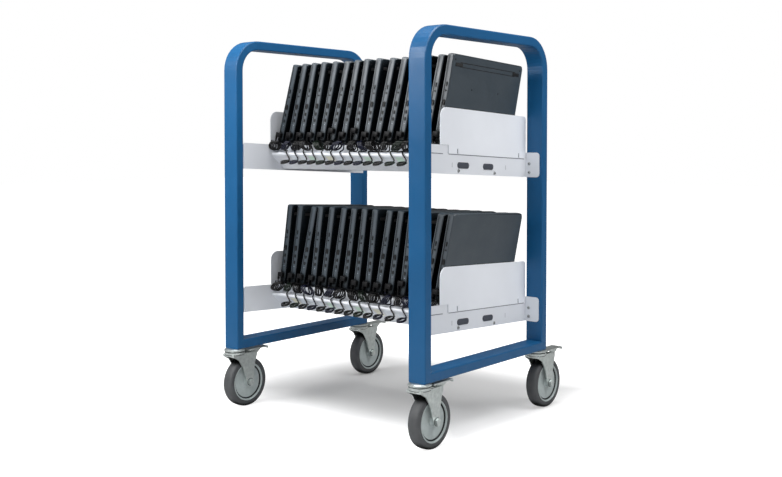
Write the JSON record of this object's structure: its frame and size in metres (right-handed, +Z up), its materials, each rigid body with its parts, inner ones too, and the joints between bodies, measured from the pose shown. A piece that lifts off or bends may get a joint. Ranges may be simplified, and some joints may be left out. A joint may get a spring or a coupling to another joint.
{
  "type": "laptop charging cart",
  "caption": "Open two-tier notebook charging cart: bent blue tube end frames, sloping sheet trays with slotted racks holding closed notebooks, braked swivel casters.",
  "frame": {"origin": "on the floor, under the middle of the whole cart with its trailing casters", "axes": "+X along the row of notebooks, +Y from the lead side to the back, +Z up"},
  "size_m": [0.717, 0.671, 1.028],
  "materials": {
    "frame_blue": "satin blue powder coat",
    "sheet_white": "satin light grey powder coat",
    "rack_black": "matt moulded",
    "unit_grey": "fine moulded texture",
    "zinc": "bright zinc plate",
    "wheel_grey": "matt grey tread",
    "notebook_charcoal": "fine textured charcoal"
  },
  "bodies": {
    "cart": {"left_end_frame": "frame_blue", "right_end_frame": "frame_blue", "upper_tray": "sheet_white", "upper_left_end_plate": "sheet_white", "upper_right_end_plate": "sheet_white", "lower_tray": "sheet_white", "lower_left_end_plate": "sheet_white", "lower_right_end_plate": "sheet_white", "upper_divider_rack": "rack_black", "lower_divider_rack": "rack_black", "upper_charging_unit": "unit_grey", "lower_charging_unit": "unit_grey", "front_left_swivel_head": "zinc", "front_right_swivel_head": "zinc", "rear_left_swivel_head": "zinc", "rear_right_swivel_head": "zinc", "upper_notebook_01": "notebook_charcoal", "upper_notebook_02": "notebook_charcoal", "upper_notebook_03": "notebook_charcoal", "upper_notebook_04": "notebook_charcoal", "upper_notebook_05": "notebook_charcoal", "upper_notebook_06": "notebook_charcoal", "upper_notebook_07": "notebook_charcoal", "upper_notebook_08": "notebook_charcoal", "upper_notebook_09": "notebook_charcoal", "upper_notebook_10": "notebook_charcoal", "upper_notebook_11": "notebook_charcoal", "upper_notebook_12": "notebook_charcoal", "upper_notebook_13": "notebook_charcoal", "upper_notebook_14": "notebook_charcoal", "upper_notebook_15": "notebook_charcoal", "lower_notebook_01": "notebook_charcoal", "lower_notebook_02": "notebook_charcoal", "lower_notebook_03": "notebook_charcoal", "lower_notebook_04": "notebook_charcoal", "lower_notebook_05": "notebook_charcoal", "lower_notebook_06": "notebook_charcoal", "lower_notebook_07": "notebook_charcoal", "lower_notebook_08": "notebook_charcoal", "lower_notebook_09": "notebook_charcoal", "lower_notebook_10": "notebook_charcoal", "lower_notebook_11": "notebook_charcoal", "lower_notebook_12": "notebook_charcoal", "lower_notebook_13": "notebook_charcoal", "lower_notebook_14": "notebook_charcoal", "lower_notebook_15": "notebook_charcoal"},
    "front_left_caster": {"front_left_fork": "zinc"},
    "front_left_rolling_wheel": {"front_left_wheel": "wheel_grey"},
    "front_left_brake": {"front_left_brake_pedal": "zinc"},
    "front_right_caster": {"front_right_fork": "zinc"},
    "front_right_rolling_wheel": {"front_right_wheel": "wheel_grey"},
    "front_right_brake": {"front_right_brake_pedal": "zinc"},
    "rear_left_caster": {"rear_left_fork": "zinc"},
    "rear_left_rolling_wheel": {"rear_left_wheel": "wheel_grey"},
    "rear_left_brake": {"rear_left_brake_pedal": "zinc"},
    "rear_right_caster": {"rear_right_fork": "zinc"},
    "rear_right_rolling_wheel": {"rear_right_wheel": "wheel_grey"},
    "rear_right_brake": {"rear_right_brake_pedal": "zinc"}
  },
  "joints": [
    {"name": "front_left_swivel", "type": "hinge", "parent": "cart", "child": "front_left_caster", "pos_m": [-0.329, -0.3045, 0.152], "axis": [0, 0, 1], "continuous": true},
    {"name": "front_left_roll", "type": "hinge", "parent": "front_left_caster", "child": "front_left_rolling_wheel", "pos_m": [-0.329, -0.2665, 0.069], "axis": [1, 0, 0], "continuous": true},
    {"name": "front_left_brake_press", "type": "hinge", "parent": "front_left_caster", "child": "front_left_brake", "pos_m": [-0.329, -0.2465, 0.148], "axis": [-1, 0, 0], "range_deg": [0, 12]},
    {"name": "front_right_swivel", "type": "hinge", "parent": "cart", "child": "front_right_caster", "pos_m": [0.329, -0.3045, 0.152], "axis": [0, 0, 1], "continuous": true},
    {"name": "front_right_roll", "type": "hinge", "parent": "front_right_caster", "child": "front_right_rolling_wheel", "pos_m": [0.329, -0.2665, 0.069], "axis": [1, 0, 0], "continuous": true},
    {"name": "front_right_brake_press", "type": "hinge", "parent": "front_right_caster", "child": "front_right_brake", "pos_m": [0.329, -0.2465, 0.148], "axis": [-1, 0, 0], "range_deg": [0, 12]},
    {"name": "rear_left_swivel", "type": "hinge", "parent": "cart", "child": "rear_left_caster", "pos_m": [-0.329, 0.2225, 0.152], "axis": [0, 0, 1], "continuous": true},
    {"name": "rear_left_roll", "type": "hinge", "parent": "rear_left_caster", "child": "rear_left_rolling_wheel", "pos_m": [-0.329, 0.2605, 0.069], "axis": [1, 0, 0], "continuous": true},
    {"name": "rear_left_brake_press", "type": "hinge", "parent": "rear_left_caster", "child": "rear_left_brake", "pos_m": [-0.329, 0.2805, 0.148], "axis": [-1, 0, 0], "range_deg": [0, 12]},
    {"name": "rear_right_swivel", "type": "hinge", "parent": "cart", "child": "rear_right_caster", "pos_m": [0.329, 0.2225, 0.152], "axis": [0, 0, 1], "continuous": true},
    {"name": "rear_right_roll", "type": "hinge", "parent": "rear_right_caster", "child": "rear_right_rolling_wheel", "pos_m": [0.329, 0.2605, 0.069], "axis": [1, 0, 0], "continuous": true},
    {"name": "rear_right_brake_press", "type": "hinge", "parent": "rear_right_caster", "child": "rear_right_brake", "pos_m": [0.329, 0.2805, 0.148], "axis": [-1, 0, 0], "range_deg": [0, 12]}
  ]
}
